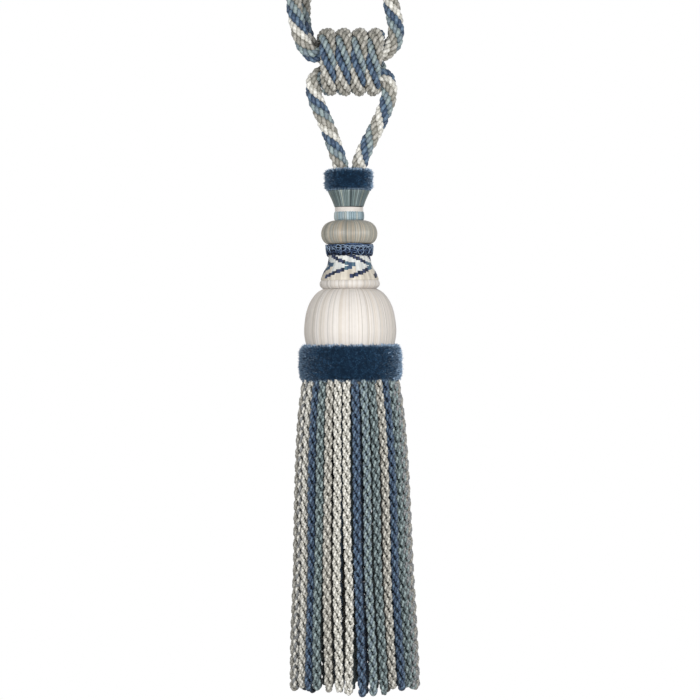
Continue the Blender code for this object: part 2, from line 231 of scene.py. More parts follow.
# Routes: x and z of a rope's centreline, in millimetres, the same as the solids'
EMBRACE_FRONT_ROUTE = [
    (0.0, -68.1), (-6.0, -68.1), (-11.5, -68.2), (-16.2, -69.2), (-20.0, -69.2),
    (-23.1, -66.8), (-25.5, -63.2), (-27.6, -57.6), (-29.2, -50.7), (-30.4, -44.1),
    (-30.8, -37.0), (-30.0, -27.0), (-27.6, -17.5), (-23.4, -8.9), (-17.0, -1.4),
    (-9.0, 3.1), (0.0, 4.6), (7.0, 3.3), (13.0, -0.6), (17.3, -6.8), (19.6, -14.5),
    (20.6, -24.0), (21.2, -32.0), (22.0, -38.6), (23.4, -45.2), (24.6, -50.7),
    (25.3, -56.0), (24.9, -60.6), (23.3, -64.2), (20.8, -66.9), (17.2, -68.6),
    (12.5, -68.6), (7.0, -68.2), (0.0, -68.1),
]
EMBRACE_BACK_ROUTE = [
    (0.0, -68.1), (-6.0, -68.1), (-11.5, -68.1), (-15.6, -67.6), (-19.3, -65.7),
    (-22.4, -62.0), (-24.6, -56.7), (-25.8, -50.7), (-26.1, -44.5), (-25.7, -37.0),
    (-25.2, -27.0), (-23.7, -17.0), (-20.4, -8.0), (-15.0, -1.0), (-8.0, 3.3),
    (0.0, 4.6), (7.0, 3.3), (13.2, -0.7), (17.7, -7.0), (20.3, -15.0), (21.5, -24.0),
    (22.0, -32.0), (22.6, -38.6), (23.8, -45.2), (25.0, -50.7), (25.4, -55.6),
    (24.2, -60.4), (21.5, -64.2), (17.8, -67.0), (12.8, -68.1), (7.0, -68.1),
    (0.0, -68.1),
]
BAIL_ROUTE = [
    (-4.9, -135.0), (-5.0, -131.0), (-5.7, -127.5), (-6.9, -123.8), (-8.2, -120.0),
    (-9.7, -115.6), (-11.3, -111.2), (-13.1, -106.8), (-15.0, -102.4), (-16.9, -98.0),
    (-18.8, -93.3), (-20.0, -88.4), (-19.9, -84.4), (-18.7, -81.3), (-16.2, -79.5),
    (-12.0, -79.0), (-5.0, -79.0), (5.0, -79.0), (12.5, -79.0), (17.0, -79.5),
    (19.9, -81.5), (21.3, -84.8), (21.6, -88.8), (21.0, -93.4), (19.4, -98.0),
    (17.6, -102.4), (15.5, -106.8), (13.3, -111.2), (11.0, -115.6), (8.7, -120.0),
    (6.9, -124.0), (5.6, -127.7), (5.0, -131.0), (4.9, -135.0),
]

# Outlines of turned pieces: depth below the head's top and radius, in millimetres
TOP_RUFF_OUTLINE = [
    (1.7, 2.0), (1.6, 6.0), (1.6, 9.6), (1.8, 11.2), (2.9, 12.1), (6.0, 12.3),
    (10.2, 12.2), (11.4, 11.4), (11.7, 9.6), (11.7, 7.0),
]
NECK_OUTLINE = [
    (12.4, 11.2), (13.2, 11.1), (15.2, 10.2), (17.6, 9.1), (20.0, 8.2), (21.4, 7.7),
]
BAND_OUTLINE = [
    (23.6, 7.2), (24.1, 7.6), (24.9, 7.9), (26.4, 8.0), (28.0, 7.9), (28.9, 7.4),
]
BUN_OUTLINE = [
    (28.8, 7.0), (28.9, 8.6), (29.4, 10.6), (30.5, 12.7), (32.2, 14.3), (34.5, 15.2),
    (36.6, 15.4), (38.8, 14.9), (40.6, 13.8), (41.7, 12.2), (42.0, 10.5),
]
GIMP_OUTLINE = [
    (42.1, 10.4), (42.3, 11.6), (44.0, 11.9), (46.5, 11.6), (48.3, 11.0), (48.5, 10.2),
]
CONE_OUTLINE = [
    (47.6, 11.0), (48.7, 11.2), (51.0, 11.5), (53.0, 12.1), (55.2, 13.1), (57.6, 14.3),
    (60.0, 15.5), (61.2, 15.9), (61.9, 15.7),
]
RIM_OUTLINE = [
    (61.7, 15.5), (62.2, 16.1), (63.0, 16.4), (63.9, 16.5), (65.0, 16.2), (66.0, 15.2),
    (66.4, 14.6),
]
BALL_OUTLINE = [
    (66.2, 13.9), (66.8, 15.3), (68.2, 17.7), (70.4, 19.8), (73.2, 21.7), (76.8, 23.3),
    (81.0, 24.4), (86.0, 25.1), (90.5, 25.3), (94.5, 24.8), (98.4, 23.9),
]
LOWER_RUFF_OUTLINE = [
    (98.6, 23.0), (98.2, 24.6), (98.5, 25.8), (99.6, 26.6), (102.0, 27.0), (107.0, 27.2),
    (112.5, 27.1), (115.4, 26.6), (116.4, 25.6), (116.6, 24.2),
]
HEADING_OUTLINE = [
    (117.0, 23.0), (117.2, 24.6), (118.6, 24.6), (119.8, 23.0), (120.0, 19.0), (120.0, 2.0),
]

# Skirt's outline: share of its length and radius to the cords' outer side, in millimetres
SKIRT_OUTLINE = [
    (0.0, 27.2), (0.05, 28.6), (0.12, 30.0), (0.25, 31.4), (0.40, 32.4), (0.60, 33.4),
    (0.80, 35.2), (1.0, 36.2),
]
# Rings: how many cords, their inset at the top and bottom in millimetres, and turn in degrees
OUTER_ROW = (34, 2.3, 2.5, 0.0)
INNER_ROW = (26, 7.7, 8.6, 4.0)

# Pieces under upright threads. Most threads are evenly light, and one in a few is dark.
EVEN_SHADES = (0.92, 1.0)
THREADED = {
    # name: node, outline, threads, rows, rib in mm, light left in the painted shade of its
    # grooves, shade, dark thread's shade, one in
    "neck_flare": ("neck", NECK_OUTLINE, 62, 18, 0.6, 0.0, 1.0, 0.5, 3),
    "neck_band": ("neck", BAND_OUTLINE, 36, 10, 0.7, 0.0, 1.0, 0.65, 3),
    "bun_threads": ("bun", BUN_OUTLINE, 210, 22, 0.17, 0.4, 1.0, 0.78, 4),
    "rim_threads": ("rim_bead", RIM_OUTLINE, 150, 14, 0.13, 0.8, 0.93, 0.78, 6),
    "ball_threads": ("ball", BALL_OUTLINE, 320, 22, 0.15, 0.6, 1.0, 0.78, 6),
}

# Colours, as the photograph shows them (sRGB, 0 to 255)
STRAND_COLOURS = {
    "blue": (88, 111, 134),
    "deep_blue": (57, 77, 103),
    "white": (221, 219, 212),
    "cream": (198, 196, 188),
    "taupe": (167, 164, 156),
    "tan": (141, 139, 130),
    "sage": (142, 157, 158),
    "deep_sage": (96, 110, 113),
    "grey_blue": (116, 131, 140),
    "lilac": (146, 148, 150),
}
ROPE_STRANDS = [
    # plies of one strand
    ("blue", "deep_blue"), ("white", "cream"), ("taupe", "tan"), ("sage", "grey_blue"),
]
# The knot's pale strand is cream and taupe rather than white and cream: painted shade on the same
# yarn
KNOT_STRANDS_IN_PAINTED_SHADE = [
    # plies of one strand
    ("blue", "deep_blue"), ("cream", "taupe"), ("taupe", "tan"), ("sage", "grey_blue"),
]
# The embrace's strands come in the opposite order
EMBRACE_STRANDS = [ROPE_STRANDS[0], *ROPE_STRANDS[:0:-1]]
# Outer cords in order, seen from above, starting at the skirt's right side
CORD_STRANDS = [
    # the two strands of a cord
    ("taupe", "lilac"), ("sage", "sage"), ("cream", "white"), ("blue", "blue"),
    ("deep_sage", "sage"), ("taupe", "cream"), ("white", "cream"), ("blue", "deep_blue"),
    ("sage", "sage"), ("taupe", "taupe"), ("cream", "white"), ("deep_blue", "blue"),
    ("sage", "grey_blue"), ("taupe", "cream"), ("blue", "blue"), ("sage", "deep_sage"),
    ("white", "cream"), ("cream", "taupe"), ("cream", "taupe"), ("white", "lilac"),
    ("cream", "white"), ("blue", "deep_blue"), ("sage", "deep_sage"), ("taupe", "cream"),
    ("white", "cream"), ("cream", "white"), ("deep_blue", "blue"), ("sage", "grey_blue"),
    ("sage", "deep_sage"), ("taupe", "cream"), ("deep_blue", "blue"), ("sage", "deep_sage"),
    ("lilac", "sage"), ("lilac", "taupe"),
]
INNER_STRANDS = ["deep_blue", "deep_sage", "tan", "blue", "deep_sage"]
NECK_COLOURS = [
    (142, 156, 156), (104, 119, 122), (128, 143, 146), (160, 169, 162), (94, 110, 113),
    (120, 136, 136),
]
BAND_COLOURS = [(176, 192, 198), (146, 166, 174), (190, 200, 198)]
BUN_COLOURS = [
    (178, 174, 162), (156, 153, 143), (188, 184, 172), (142, 141, 132), (184, 170, 150),
    (169, 165, 155), (158, 159, 152),
]
CREAM_COLOURS = [(222, 216, 210), (217, 211, 204), (224, 219, 214), (214, 206, 196)]
CHEVRON_COLOURS = [
    # pairs of whites, creams, blues near a chevron's corner, and blues far from it
    (222, 223, 219), (208, 211, 208), (216, 209, 196), (202, 194, 180),
    (84, 112, 126), (58, 82, 108), (26, 36, 54), (52, 62, 92),
]
GIMP_COLOURS = [(30, 42, 66), (70, 90, 122), (6, 10, 18), (150, 170, 194)]
# Pile is darker at its roots: painted shade between the tufts
VELVET_ROOT_PAINTED_SHADE = (8, 31, 51)
VELVET_TIP = (58, 98, 134)
VELVET_EDGE = (0.44, 0.60, 0.80)
VELVET_EDGE_SPREAD = 0.45
VELVET_NOISE = (520.0, 4.0)
VELVET_PATCHES = (0.42, 0.62)
FLOOR_COLOUR = (238, 238, 236)

# Yarns and threads: what all of them share, then how each one shines and how its fibres lie
THREAD_NOISE = (420.0, 3.0)
THREAD_SHEEN = 0.05
FIBRE_BUMP = 0.5
FIBRE_RELIEF = 0.08 * MM
TWISTED = 1.8 * MM
STRAIGHT = 1.0
YARNS = {
    # name: roughness, specular, fibres' lay, their depth as painted shade in stripes, unevenness
    "rope_yarn": (0.5, 0.5, TWISTED, 0.12, 0.5),
    "bullion_yarn": (0.5, 0.5, TWISTED, 0.25, 0.5),
    "neck_threads": (0.4, 0.5, STRAIGHT, 0.1, 0.3),
    "band_threads": (0.4, 0.5, STRAIGHT, 0.1, 0.3),
    "bun_threads": (0.36, 0.7, STRAIGHT, 0.07, 0.2),
    "gimp_threads": (0.6, 0.1, TWISTED, 0.2, 0.7),
    "chevron_threads": (0.5, 0.3, STRAIGHT, 0.05, 0.2),
    "cream_threads": (0.42, 0.4, STRAIGHT, 0.04, 0.12),
}


# Numbers and lines


def linear(colour):
    """An sRGB colour of 0 to 255 as linear red, green, blue and alpha."""
    parts = [part / 255 for part in colour]
    return (*(p / 12.92 if p < 0.04045 else ((p + 0.055) / 1.055) ** 2.4 for p in parts), 1.0)


def unit(vectors):
    return vectors / np.linalg.norm(vectors, axis=-1, keepdims=True)


def dot(first, second):
    return np.sum(first * second, axis=-1, keepdims=True)


def round_axis(radius, angle, z):
    """Points at a distance and angle from an axis along Z."""
    return np.column_stack([radius * np.cos(angle), radius * np.sin(angle), z])


def on_head(points):
    """Points beside the head's axis, with z as minus the depth, in the frame's own axes."""
    x, y, z = np.moveaxis(np.asarray(points, float), -1, 0)
    cos, sin = math.cos(HEAD_LEAN), math.sin(HEAD_LEAN)
    return np.stack([x * cos - z * sin, y, x * sin + z * cos], axis=-1) + HEAD_TOP


def smooth_line(points, step):
    """Points a step apart on a smooth curve through the given points."""
    points = np.asarray(points, float)
    ends = np.vstack([2 * points[0] - points[1], points, 2 * points[-1] - points[-2]])
    t = (np.arange(CURVE_PARTS) / CURVE_PARTS)[:, None]
    fine = []
    for before, start, stop, after in zip(ends, ends[1:], ends[2:], ends[3:]):
        slope = stop - before
        bend = 2 * before - 5 * start + 4 * stop - after
        change = 3 * start - 3 * stop + after - before
        fine.append((2 * start + slope * t + bend * t**2 + change * t**3) / 2)
    fine.append(points[-1:])
    return even_line(np.vstack(fine), step)


def run_along(line):
    """The length of a line up to each of its points."""
    steps = np.linalg.norm(np.diff(line, axis=-2), axis=-1)
    return np.concatenate([np.zeros((*steps.shape[:-1], 1)), np.cumsum(steps, axis=-1)], axis=-1)


def even_line(line, step):
    """The same line with its points the same distance apart, about one step."""
    run = run_along(line)
    wanted = np.linspace(0, run[-1], max(2, round(run[-1] / step)) + 1)
    return np.stack([np.interp(wanted, run, axis) for axis in line.T], axis=-1)


def frames_of(lines):
    """Two directions square to each line, carried along it without twist."""
    ahead = unit(np.gradient(lines, axis=1))
    first = np.empty_like(lines)
    start = np.where(np.abs(ahead[:, 0, 1:2]) > NEARLY_FRONT, SIDEWAYS, FRONT)
    for index in range(lines.shape[1]):
        start = unit(start - dot(start, ahead[:, index]) * ahead[:, index])
        first[:, index] = start
    return first, np.cross(ahead, first)


def wound(lines, count, offset, lay, phase=0.0, outward=None):
    """For each line, that many lines wound round it; a lay below nought is left-handed.

    The offset is one reach, or two where the winding is flattened: outward and across.
    """
    first, second = frames_of(lines)
    run = run_along(lines)
    tall, wide = offset if isinstance(offset, tuple) else (offset, offset)
    turned = 0.0
    if outward is not None:
        turned = np.arctan2(dot(outward, second), dot(outward, first))[..., 0]
        ahead = np.cross(first, second)
        first = unit(outward - dot(outward, ahead) * ahead)
        second = np.cross(ahead, first)
    wound_lines = []
    for index in range(count):
        angle = phase + TURN * (index / count + run / lay) - turned
        reach = (tall * np.cos(angle))[..., None] * first
        reach = reach + (wide * np.sin(angle))[..., None] * second
        wound_lines.append(lines + reach)
    return np.stack(wound_lines, axis=1).reshape(-1, *lines.shape[1:])


# Meshes


def in_scene(name, data):
    item = bpy.data.objects.new(name, data)
    bpy.context.scene.collection.objects.link(item)
    return item


def new_object(name, points, faces, material):
    """An object from points and lists of faces of equal size; it rides on the root."""
    mesh = bpy.data.meshes.new(name)
    mesh.vertices.add(len(points))
    mesh.vertices.foreach_set("co", np.asarray(points, np.float32).ravel())
    corners = np.concatenate([part.ravel() for part in faces]).astype(np.int32)
    sizes = np.concatenate([np.full(len(part), part.shape[1]) for part in faces])
    starts = np.concatenate([[0], np.cumsum(sizes)[:-1]]).astype(np.int32)
    mesh.loops.add(len(corners))
    mesh.loops.foreach_set("vertex_index", corners)
    mesh.polygons.add(len(sizes))
    mesh.polygons.foreach_set("loop_start", starts)
    mesh.update(calc_edges=True)
    mesh.shade_smooth()
    mesh.materials.append(material)
    item = in_scene(name, mesh)
    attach(item, "root")
    return item


def mesh_value(item, name, values, domain="FACE"):
    layer = item.data.attributes.new(name, "FLOAT", domain)
    layer.data.foreach_set("value", np.asarray(values, np.float32).ravel())


def yarn_map(item, places):
    """Places round and along the yarn, for its fibres."""
    layer = item.data.uv_layers.new(name="yarn")
    layer.data.foreach_set("uv", np.asarray(places, np.float32).ravel())


def plain_yarn(item, tone, shade):
    """One colour and no fibres."""
    mesh_value(item, "tone", np.full(len(item.data.polygons), tone))
    mesh_value(item, "shade", np.full(len(item.data.polygons), shade))
    mesh_value(item, "open", np.ones(len(item.data.vertices)), "POINT")
    yarn_map(item, np.zeros((len(item.data.loops), 2)))


def openness(points, cores):
    """How open to the light points of yarns are, by their distance from each core they wind round.

    A core is its lines, how thick the winding is on them, and the painted shade of its crease.
    """
    light = np.ones(points.shape[:3])
    for lines, thickness, (dark, near, far) in cores:
        away = np.linalg.norm(points - lines[:, :, None], axis=-1)
        away = away / np.broadcast_to(thickness, away.shape[:2])[..., None]
        light = light * (dark + (1 - dark) * np.clip((away - near) / (far - near), 0.0, 1.0))
    return light


def tubes(name, lines, radius, sides, tones, shades, material, cores=()):
    """Closed tubes along lines of equal length, with a tone and a shade for each."""
    count, length = lines.shape[:2]
    first, second = frames_of(lines)
    radius = np.broadcast_to(radius, (count, length))[..., None]
    rings = []
    for side in range(sides):
        angle = TURN * side / sides
        rings.append(lines + radius * (math.cos(angle) * first + math.sin(angle) * second))
    points = np.stack(rings, axis=2)
    starts = np.arange(count)[:, None, None] * length * sides
    along = np.arange(length - 1)[None, :, None] * sides
    here = np.arange(sides)[None, None, :]
    after = (here + 1) % sides
    low = starts + along
    quads = np.stack([low + here, low + after, low + sides + after, low + sides + here], axis=-1)
    firsts = starts[:, 0] + np.arange(sides)[::-1]
    lasts = starts[:, 0] + (length - 1) * sides + np.arange(sides)
    faces = [quads.reshape(-1, 4), firsts, lasts]
    item = new_object(name, points.reshape(-1, 3), faces, material)
    # Painted shade in the creases, by how open each point is
    mesh_value(item, "open", openness(points, cores), "POINT")
    for layer, values in (("tone", tones), ("shade", shades)):
        values = np.broadcast_to(np.asarray(values, float), count)
        round_it = np.repeat(values, (length - 1) * sides)
        mesh_value(item, layer, np.concatenate([round_it, values, values]))
    run = run_along(lines)
    grid = (count, length - 1, sides, 4)
    u = np.broadcast_to(np.stack([here, here + 1, here + 1, here], axis=-1) / sides, grid)
    ends = [run[:, :-1], run[:, :-1], run[:, 1:], run[:, 1:]]
    v = np.broadcast_to(np.stack(ends, axis=-1)[:, :, None], grid)
    places = np.stack([u, v], axis=-1).reshape(-1, 2)
    yarn_map(item, np.concatenate([places, np.zeros((2 * count * sides, 2))]))
    return item


def outline_rows(outline, rows):
    """Depth, radius and run of rows of points spaced evenly on a smooth outline."""
    line = smooth_line(np.array(outline) * MM, OUTLINE_STEP)
    run = run_along(line)
    wanted = np.linspace(0, run[-1], rows + 1)
    return np.interp(wanted, run, line[:, 0]), np.interp(wanted, run, line[:, 1]), wanted


def turned_mesh(name, depth, reach, material):
    """A closed turned body from the depth of each row and the reach of each of its points."""
    rows, around = reach.shape[0] - 1, reach.shape[1]
    angle = TURN * np.arange(around) / around
    z = np.broadcast_to(-depth[:, None], reach.shape)
    points = on_head(np.stack([reach * np.cos(angle), reach * np.sin(angle), z], axis=-1))
    low = np.arange(rows)[:, None] * around
    here = np.arange(around)[None, :]
    after = (here + 1) % around
    quads = np.stack([low + after, low + here, low + around + here, low + around + after], axis=-1)
    bottom = rows * around + here[:, ::-1]
    faces = [quads.reshape(-1, 4), here, bottom]
    return new_object(name, points.reshape(-1, 3), faces, material)


def plain_turned(name, outline, material, rows=BODY_ROWS, around=BODY_AROUND):
    depth, radius, _run = outline_rows(outline, rows)
    reach = np.repeat(radius[:, None], around, axis=1)
    return turned_mesh(name, depth, reach, material)


def turned_threads(
    name, outline, threads, rows, rib, groove_light, tones, shades, material, raised=None
):
    """A turned piece under upright threads, with a tone and a shade for each of them."""
    depth, radius, run = outline_rows(outline, rows)
    around = threads * RIB_POINTS
    heights = np.tile(np.sin(math.pi * np.arange(RIB_POINTS) / RIB_POINTS), threads)
    reach = radius[:, None] + rib * (heights[None, :] - 0.5)
    if raised is not None:
        reach = reach + raised(depth, around)
    item = turned_mesh(name, depth, reach, material)
    # Painted shade in the grooves between threads
    light = groove_light + (1 - groove_light) * heights
    mesh_value(item, "open", np.tile(light, rows + 1), "POINT")
    for layer, values in (("tone", tones), ("shade", shades)):
        values = np.broadcast_to(np.asarray(values, float), (rows, threads))
        values = np.repeat(values, RIB_POINTS, axis=1).ravel()
        mesh_value(item, layer, np.concatenate([values, [0, 0]]))
    grid = (rows, around, 4)
    here = np.arange(around)[None, :]
    u = np.stack([here + 1, here, here, here + 1], axis=-1) / RIB_POINTS
    v = np.stack([run[:-1], run[:-1], run[1:], run[1:]], axis=-1)[:, None, :]
    places = np.stack([np.broadcast_to(u, grid), np.broadcast_to(v, grid)], axis=-1)
    yarn_map(item, np.concatenate([places.reshape(-1, 2), np.zeros((2 * around, 2))]))
    return item


# Materials


def new_material(name, roughness, sheen, specular):
    made = bpy.data.materials.new(name)
    made.use_nodes = True
    shader = made.node_tree.nodes["Principled BSDF"]
    shader.inputs["Roughness"].default_value = roughness
    shader.inputs["Sheen Weight"].default_value = sheen
    shader.inputs["Specular IOR Level"].default_value = specular
    return made, made.node_tree, shader


def node(tree, kind, **settings):
    made = tree.nodes.new(kind)
    for key, value in settings.items():
        setattr(made, key, value)
    return made


def calculate(tree, operation, *values):
    """A Math node on sockets or numbers."""
    made = node(tree, "ShaderNodeMath", operation=operation)
    for socket, value in zip(made.inputs, values):
        if isinstance(value, (int, float)):
            socket.default_value = value
        else:
            tree.links.new(value, socket)
    return made.outputs[0]


def multiply_colour(tree, colour, light):
    mix = node(tree, "ShaderNodeMix", data_type="RGBA", blend_type="MULTIPLY")
    mix.inputs["Factor"].default_value = 1.0
    tree.links.new(colour, mix.inputs["A"])
    tree.links.new(light, mix.inputs["B"])
    return mix.outputs["Result"]


def object_noise(tree, settings):
    """Noise on the object's own points, of a scale and detail."""
    scale, detail = settings
    place = node(tree, "ShaderNodeTexCoord")
    noise = node(tree, "ShaderNodeTexNoise")
    noise.inputs["Scale"].default_value = scale
    noise.inputs["Detail"].default_value = detail
    tree.links.new(place.outputs["Object"], noise.inputs["Vector"])
    return noise.outputs["Fac"]


def tone_ramp(tree, colours):
    """A colour for each tone, in steps."""
    tone = node(tree, "ShaderNodeAttribute", attribute_name="tone")
    ramp = node(tree, "ShaderNodeValToRGB")
    ramp.color_ramp.interpolation = "CONSTANT"
    stops = ramp.color_ramp.elements
    for index, colour in enumerate(colours):
        place = index / len(colours)
        stop = stops[index] if index < 2 else stops.new(place)
        stop.position = place
        stop.color = linear(colour)
    tree.links.new(tone.outputs["Fac"], ramp.inputs["Fac"])
    return ramp.outputs["Color"]


def painted_crease_shade(tree, colour, open_side):
    """Painted shade darkens the creases, but less so for pale yarns, which light each other there.
    """
    bounce = node(tree, "ShaderNodeVectorMath", operation="MULTIPLY_ADD")
    tree.links.new(colour, bounce.inputs[0])
    bounce.inputs[1].default_value = (CREASE_BOUNCE,) * 3
    bounce.inputs[2].default_value = (CREASE_LEFT,) * 3
    mix = node(tree, "ShaderNodeMix", data_type="RGBA")
    tree.links.new(open_side, mix.inputs["Factor"])
    tree.links.new(multiply_colour(tree, colour, bounce.outputs[0]), mix.inputs["A"])
    tree.links.new(colour, mix.inputs["B"])
    return mix.outputs["Result"]


def thread_material(name, colours):
    """Dyed thread: a colour for each tone, uneven along its length, with fine fibres drawn as
    bumps and as painted shade in stripes.
    """
    roughness, specular, fibre_lay, fibre_shade_depth, vary = YARNS[name]
    made, tree, shader = new_material(name, roughness, THREAD_SHEEN, specular)
    noise = object_noise(tree, THREAD_NOISE)
    shade = node(tree, "ShaderNodeAttribute", attribute_name="shade")
    open_side = node(tree, "ShaderNodeAttribute", attribute_name="open")
    yarn = node(tree, "ShaderNodeUVMap", uv_map="yarn")
    split = node(tree, "ShaderNodeSeparateXYZ")
    tree.links.new(yarn.outputs["UV"], split.inputs["Vector"])
    around, along = split.outputs["X"], split.outputs["Y"]
    skewed = calculate(tree, "MULTIPLY_ADD", along, 1 / fibre_lay, around)
    turns = calculate(tree, "MULTIPLY", skewed, TURN)
    wave = calculate(tree, "SINE", turns)
    # Painted shade in stripes across the fibres, standing in for their relief
    fibre = calculate(tree, "MULTIPLY_ADD", wave, fibre_shade_depth, 1.0 - vary / 2)
    light = calculate(tree, "MULTIPLY_ADD", noise, vary, fibre)
    # The shade attribute: tone that differs at random, and painted shade on the embrace's back
    # rope, the inner cords and the heading
    light = calculate(tree, "MULTIPLY", light, shade.outputs["Fac"])
    colour = painted_crease_shade(tree, tone_ramp(tree, colours), open_side.outputs["Fac"])
    tree.links.new(multiply_colour(tree, colour, light), shader.inputs["Base Color"])
    bump = node(tree, "ShaderNodeBump")
    bump.inputs["Strength"].default_value = FIBRE_BUMP
    bump.inputs["Distance"].default_value = FIBRE_RELIEF
    tree.links.new(calculate(tree, "ADD", wave, noise), bump.inputs["Height"])
    tree.links.new(bump.outputs["Normal"], shader.inputs["Normal"])
    return made


def velvet_material():
    """Navy pile: darker at the roots between the tufts as painted shade, blue at their tips, pale
    where it is seen edge on.
    """
    made, tree, shader = new_material("velvet", roughness=0.8, sheen=1.0, specular=0.1)
    shader.inputs["Sheen Roughness"].default_value = VELVET_EDGE_SPREAD
    shader.inputs["Sheen Tint"].default_value = (*VELVET_EDGE, 1.0)
    tip = node(tree, "ShaderNodeAttribute", attribute_name="tip")
    noise = object_noise(tree, VELVET_NOISE)
    patches = node(tree, "ShaderNodeMapRange")
    patches.inputs["From Min"].default_value = VELVET_PATCHES[0]
    patches.inputs["From Max"].default_value = VELVET_PATCHES[1]
    tree.links.new(noise, patches.inputs["Value"])
    share = calculate(tree, "MULTIPLY", tip.outputs["Fac"], patches.outputs["Result"])
    mix = node(tree, "ShaderNodeMix", data_type="RGBA")
    tree.links.new(share, mix.inputs["Factor"])
    mix.inputs["A"].default_value = linear(VELVET_ROOT_PAINTED_SHADE)
    mix.inputs["B"].default_value = linear(VELVET_TIP)
    tree.links.new(mix.outputs["Result"], shader.inputs["Base Color"])
    return made


# Ropes


def tone_of(name, names=tuple(STRAND_COLOURS)):
    return (names.index(name) + 0.5) / len(names)


def line_place(line, x, z):
    """The number of the line's front point nearest to an x and z in millimetres."""
    behind = line[:, 1] - line[:, 1].min()
    return int(np.argmin(np.hypot(line[:, 0] - x * MM, line[:, 2] - z * MM) + behind))


def blue_in_front(line, crossings, lay):
    """The lay and phase that bring the first strand to the front at two points of a line."""
    first, second = frames_of(line[None])
    run = run_along(line)
    places = [line_place(line, x, z) for x, z in crossings]
    angles = [math.atan2(FRONT @ second[0, place], FRONT @ first[0, place]) for place in places]
    span = run[places[1]] - run[places[0]]
    spare = angles[0] - angles[1]
    turns = round((TURN * span / lay - spare) / TURN)
    lay = TURN * span / (spare + TURN * turns)
    return lay, angles[0] + TURN * run[places[0]] / lay


def rope(
    name, line, crossings, strand_order, material, thickness=1.0, shade=1.0, lay=ROPE_LAY,
    wide=1.0, outward=None,
):
    """A left-laid rope of four strands, each of two plies twisted the other way."""
    lay, phase = blue_in_front(line, crossings, lay)
    offset = (STRAND_CENTRE * thickness, STRAND_CENTRE * thickness * wide)
    strands = wound(line[None], STRANDS, offset, -lay, phase, outward)
    plies = wound(strands, PLIES, PLY_CENTRE * thickness, PLY_LAY)
    tones = [tone_of(ply) for strand in strand_order for ply in strand]
    cores = [
        (line[None], thickness, ROPE_CREASE),
        (np.repeat(strands, PLIES, axis=0), thickness, STRAND_CREASE),
    ]
    radius = PLY_RADIUS * thickness
    item = tubes(name, plies, radius, PLY_SIDES, tones, shade, material, cores)
    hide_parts(name)
    return item


def route_line(route, depth, spread=0.0):
    """A rope's centreline, with its two ends moved apart by the spread, one each way."""
    points = [(x * MM, depth, z * MM) for x, z in route]
    points[0] = (points[0][0] - spread, *points[0][1:])
    points[-1] = (points[-1][0] + spread, *points[-1][1:])
    return smooth_line(points, ROPE_STEP)


def embrace(name, route, depth, material, shade):
    """One of the two ropes of the embrace, a loop that hangs from its top."""
    line = route_line(route, depth, GAP / 2)
    item = rope(name, line, EMBRACE_BLUE, EMBRACE_STRANDS, material, shade=shade)


def knot_outline():
    """One turn round the three ropes from its top to its front, as points of y and z."""
    centres = np.array(
        [(-EMBRACE_DEPTH, EMBRACE_CORE_Z), (0.0, KNOT_LOW_Z), (EMBRACE_DEPTH, EMBRACE_CORE_Z)]
    )
    outline = [np.array((0.0, EMBRACE_CORE_Z + KNOT_OFFSET))]
    for index, centre in enumerate(centres):
        before = centre - centres[index - 1]
        after = centres[(index + 1) % len(centres)] - centre
        first = math.atan2(before[1], before[0]) - math.pi / 2
        last = math.atan2(after[1], after[0]) - math.pi / 2
        if last < first:
            last += TURN
        for angle in np.linspace(first, last, ARC_POINTS + 1):
            outline.append(centre + KNOT_OFFSET * np.array((math.cos(angle), math.sin(angle))))
    outline.append(outline[0])
    return np.array(outline)


def knot(material):
    """Four turns whose fronts stand upright, so that the rope moves along behind."""
    outline = knot_outline()
    turn = even_line(outline, run_along(outline)[-1] / KNOT_STEPS_A_TURN)
    middle = KNOT_FIRST_X + KNOT_PITCH * (KNOT_TURNS - 1) / 2
    first = round(KNOT_START * KNOT_STEPS_A_TURN)
    index = np.arange(first, first + KNOT_TURNS * KNOT_STEPS_A_TURN + 1)
    share = index / KNOT_STEPS_A_TURN
    below = (1 - np.cos(TURN * share)) / 2
    behind = np.maximum(0.0, -np.sin(TURN * share))
    swing = KNOT_SWING * (np.cos(TURN * share) - 1) / TURN
    x = KNOT_FIRST_X + KNOT_PITCH * (share + swing)
    x = middle + (x - middle) * (1 - KNOT_SQUEEZE * below)
    line = np.column_stack([x, turn[index % KNOT_STEPS_A_TURN]])
    thick = KNOT_RADIUS_TOP - KNOT_RADIUS_LESS_BELOW * below - KNOT_RADIUS_LESS_BEHIND * behind
    thick = KNOT_FULLNESS * thick / (ROPE_DIAMETER / 2)
    taper = np.sqrt(np.linspace(KNOT_TAIL_END, 1.0, KNOT_TAIL_STEPS))
    thick[:KNOT_TAIL_STEPS] *= taper
    thick[-KNOT_TAIL_STEPS:] *= taper[::-1]
    ahead = np.gradient(line[None], axis=1)
    outward = unit(np.cross(SIDEWAYS, ahead))
    outward = outward * np.sign(dot(outward, line - line.mean(axis=0)).sum())
    rope(
        "knot_wrap", line, KNOT_BLUE, KNOT_STRANDS_IN_PAINTED_SHADE, material, thick, lay=KNOT_LAY,
        wide=KNOT_WIDE, outward=outward,
    )


def ropes():
    """The two embrace ropes, the bail and the knot, all of the same yarn."""
    yarn = thread_material("rope_yarn", STRAND_COLOURS.values())
    embrace("embrace_front", EMBRACE_FRONT_ROUTE, -EMBRACE_DEPTH, yarn, 1.0)
    # The back rope is darkened with painted shade
    embrace("embrace_back", EMBRACE_BACK_ROUTE, EMBRACE_DEPTH, yarn, BACK_ROPE_PAINTED_SHADE)
    rope("bail_rope", route_line(BAIL_ROUTE, 0.0), BAIL_BLUE, ROPE_STRANDS, yarn, lay=BAIL_LAY)
    knot(yarn)


# Head


def pick_shades(threads, rng, dark, one_in):
    """Most threads are evenly light, and one in a few is darker."""
    shades = rng.uniform(*EVEN_SHADES, threads)
    return np.where(rng.random(threads) < 1 / one_in, dark, shades)


